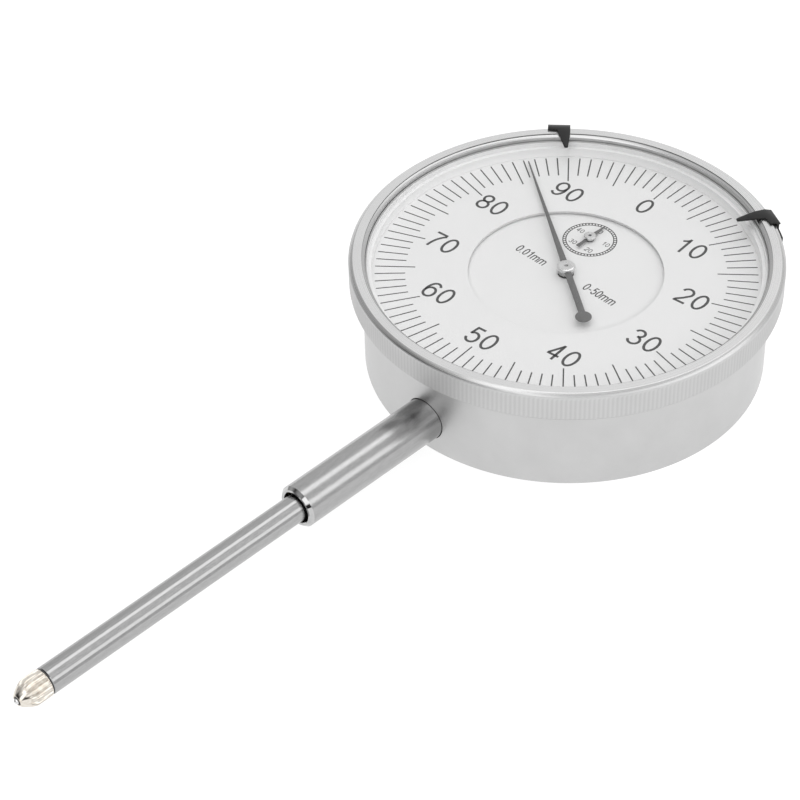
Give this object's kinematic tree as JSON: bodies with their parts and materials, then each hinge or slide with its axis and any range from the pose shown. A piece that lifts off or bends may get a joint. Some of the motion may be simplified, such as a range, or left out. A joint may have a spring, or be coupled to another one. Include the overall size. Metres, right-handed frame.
{
  "type": "dial indicator",
  "caption": "Large round dial indicator on its flat back: knurled turning bezel with limit markers, main and small hands, round stem, sliding spindle with ball contact point.",
  "frame": {"origin": "centre of the flat back face of the case", "axes": "+Z out of the dial, +Y towards 12 o'clock, stem and spindle along -Y, +X towards 3 o'clock"},
  "size_m": [0.079, 0.1738, 0.0231],
  "materials": {
    "case_alloy": "satin die-cast alloy",
    "cover_alloy": "satin",
    "bezel_alloy": "fine-turned, knurled side",
    "steel": "ground steel",
    "spring_steel": "blued spring steel",
    "brass": "turned",
    "tip_metal": "warm plated, polished",
    "dial_white": "matt white print ground",
    "hand_grey": "satin dark grey",
    "marker_black": "satin black",
    "crystal_clear": "clear acrylic"
  },
  "bodies": {
    "case": {"back_cover": "cover_alloy", "bridge": "brass", "bridge_screw_1": "steel", "bridge_screw_2": "steel", "bridge_screw_3": "steel", "bridge_screw_4": "steel", "case": "case_alloy", "cover_screw_1": "steel", "cover_screw_2": "steel", "cover_screw_3": "steel", "cover_screw_4": "steel", "front_bush": "brass", "guide_rail": "steel", "hairspring_stud": "brass", "inner_dial": "dial_white", "pillar_1": "brass", "pillar_2": "brass", "pillar_3": "brass", "pillar_4": "brass", "pinion_cock": "brass", "plate_screw_1": "steel", "plate_screw_2": "steel", "plate_screw_3": "steel", "plate_screw_4": "steel", "rail_screw_1": "steel", "rail_screw_2": "steel", "rear_bush": "brass", "spring_post": "steel", "stem": "steel", "top_cap": "steel", "top_plate": "brass"},
    "spindle": {"spindle": "steel", "contact_washer": "marker_black", "contact_point": "tip_metal", "contact_ball": "steel", "guide_pin": "steel", "return_spring": "steel"},
    "rack_pinion": {"rack_pinion": "steel", "large_gear": "brass"},
    "centre_pinion": {"centre_pinion": "steel", "main_pointer": "hand_grey", "pointer_collet": "spring_steel", "pointer_hub": "steel"},
    "reducer": {"reducer_arbor": "steel", "backlash_gear": "brass", "hairspring_collet": "brass", "hairspring": "spring_steel"},
    "small_hand": {"small_arbor": "steel", "small_wheel": "brass", "small_pointer": "hand_grey"},
    "bezel": {"bezel": "bezel_alloy", "crystal": "crystal_clear", "crystal_seal": "marker_black", "dial_ring": "dial_white", "retaining_wire": "steel"},
    "marker_left": {"marker_left": "marker_black"},
    "marker_right": {"marker_right": "marker_black"}
  },
  "joints": [
    {"name": "spindle_slide", "type": "slide", "parent": "case", "child": "spindle", "axis": [0, 1, 0], "range_m": [0, 0.05], "stiffness_N_per_m": 18, "springref_m": -0.06, "deforming": ["return_spring"]},
    {"name": "rack_pinion_turn", "type": "hinge", "parent": "case", "child": "rack_pinion", "pos_m": [-0.0032, -0.01049, 0.01], "axis": [0, 0, 1], "continuous": true},
    {"name": "centre_turn", "type": "hinge", "parent": "case", "child": "centre_pinion", "pos_m": [0, 0, 0.01], "axis": [0, 0, 1], "continuous": true},
    {"name": "reducer_turn", "type": "hinge", "parent": "case", "child": "reducer", "pos_m": [0.00373, 0.01032, 0.01], "axis": [0, 0, 1], "continuous": true, "deforming": ["hairspring"]},
    {"name": "small_hand_turn", "type": "hinge", "parent": "case", "child": "small_hand", "pos_m": [-0.0035, 0.01055, 0.01], "axis": [0, 0, 1], "continuous": true},
    {"name": "bezel_turn", "type": "hinge", "parent": "case", "child": "bezel", "pos_m": [0, 0, 0.018], "axis": [0, 0, 1], "continuous": true},
    {"name": "marker_left_turn", "type": "hinge", "parent": "bezel", "child": "marker_left", "pos_m": [0, 0, 0.022], "axis": [0, 0, 1], "range_deg": [-30, 120]},
    {"name": "marker_right_turn", "type": "hinge", "parent": "bezel", "child": "marker_right", "pos_m": [0, 0, 0.022], "axis": [0, 0, 1], "range_deg": [-120, 30]}
  ],
  "couplings": [
    {"joint": "rack_pinion_turn", "follows": "spindle_slide", "rad_per_m": 628.32},
    {"joint": "centre_turn", "follows": "spindle_slide", "rad_per_m": -6283.2},
    {"joint": "reducer_turn", "follows": "spindle_slide", "rad_per_m": 628.32},
    {"joint": "small_hand_turn", "follows": "spindle_slide", "rad_per_m": -125.66}
  ]
}
